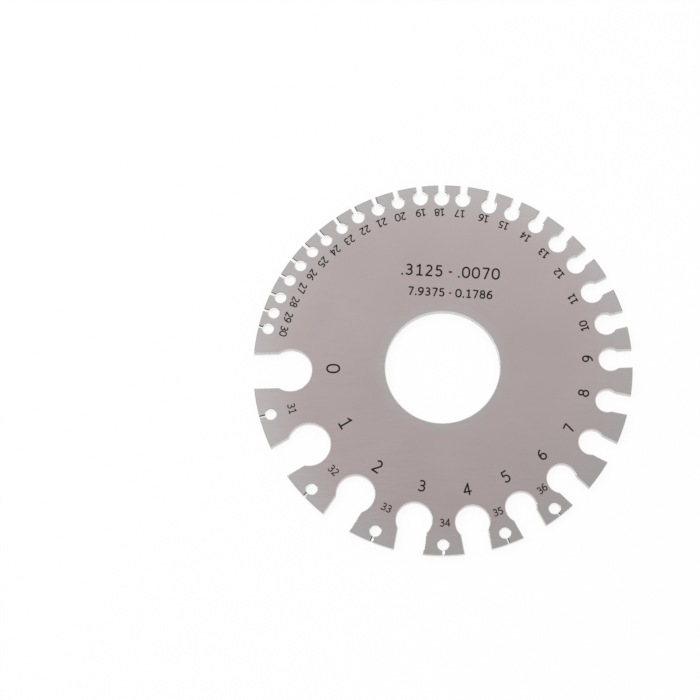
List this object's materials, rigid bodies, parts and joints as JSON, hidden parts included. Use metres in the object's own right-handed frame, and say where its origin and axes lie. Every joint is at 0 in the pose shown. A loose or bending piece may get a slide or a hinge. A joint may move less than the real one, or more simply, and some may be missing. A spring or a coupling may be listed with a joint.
{
  "type": "wire gauge",
  "caption": "Flat round steel gauge with a central hole and numbered keyhole slots round its rim for sizing wire and sheet.",
  "frame": {"origin": "centre of the central hole, on the bottom face that the gauge lies on", "axes": "+Z out of the numbered face, +Y towards the slot numbered 18, +X between the slots numbered 8 and 9"},
  "size_m": [0.0839, 0.084, 0.002],
  "materials": {
    "plate_steel": "satin stainless steel, edges lightly deburred, numerals marked dark"
  },
  "bodies": {
    "root": {"gauge_disc": "plate_steel"}
  },
  "joints": []
}
